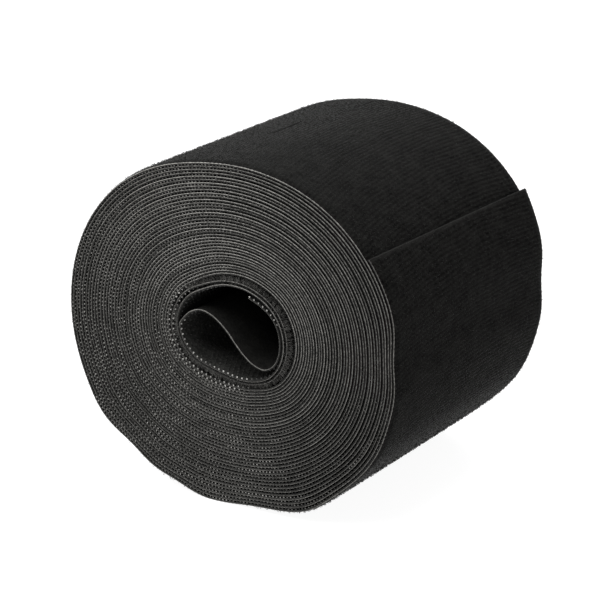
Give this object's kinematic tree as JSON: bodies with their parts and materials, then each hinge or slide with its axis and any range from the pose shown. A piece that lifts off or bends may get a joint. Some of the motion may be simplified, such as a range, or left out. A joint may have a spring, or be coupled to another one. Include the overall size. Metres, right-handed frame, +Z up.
{
  "type": "hook and loop tape roll",
  "caption": "Coreless roll of wide back-to-back hook and loop tape, hooks wound inwards, with an S-curled inner end in the bore and a peeling outer tail.",
  "frame": {"origin": "under the middle of the part's box, on the surface that the roll stands on", "axes": "+X to the right across the front end face, +Y along the roll's axis from the front end to the back, +Z up"},
  "size_m": [0.13, 0.1, 0.1182],
  "materials": {
    "hook_strip": "moulded nylon hooks on a thin base",
    "loop_strip": "brushed knitted loops"
  },
  "bodies": {
    "roll": {"winding_hook_strip": "hook_strip", "winding_loop_strip": "loop_strip"},
    "inner_end": {"inner_end_hook_strip": "hook_strip", "inner_end_loop_strip": "loop_strip"},
    "tail_1": {"tail_1_hook_strip": "hook_strip", "tail_1_loop_strip": "loop_strip"},
    "tail_2": {"tail_2_hook_strip": "hook_strip", "tail_2_loop_strip": "loop_strip"},
    "tail_3": {"tail_3_hook_strip": "hook_strip", "tail_3_loop_strip": "loop_strip"}
  },
  "joints": [
    {"name": "tail_peel", "type": "hinge", "parent": "roll", "child": "tail_1", "pos_m": [0.06189, 0, 0.04091], "axis": [0, 1, 0], "range_deg": [0, 35]},
    {"name": "tail_2_flex", "type": "hinge", "parent": "tail_1", "child": "tail_2", "pos_m": [0.06499, 0, 0.05923], "axis": [0, 1, 0], "range_deg": [0, 35]},
    {"name": "tail_3_flex", "type": "hinge", "parent": "tail_2", "child": "tail_3", "pos_m": [0.06205, 0, 0.07761], "axis": [0, 1, 0], "range_deg": [0, 35]},
    {"name": "inner_end_flex", "type": "hinge", "parent": "roll", "child": "inner_end", "pos_m": [0.014, 0, 0.0528], "axis": [0, -1, 0], "range_deg": [0, 25], "stiffness_Nm_per_rad": 0.004}
  ],
  "couplings": [
    {"joint": "tail_2_flex", "follows": "tail_peel", "ratio": 1},
    {"joint": "tail_3_flex", "follows": "tail_peel", "ratio": 1}
  ]
}
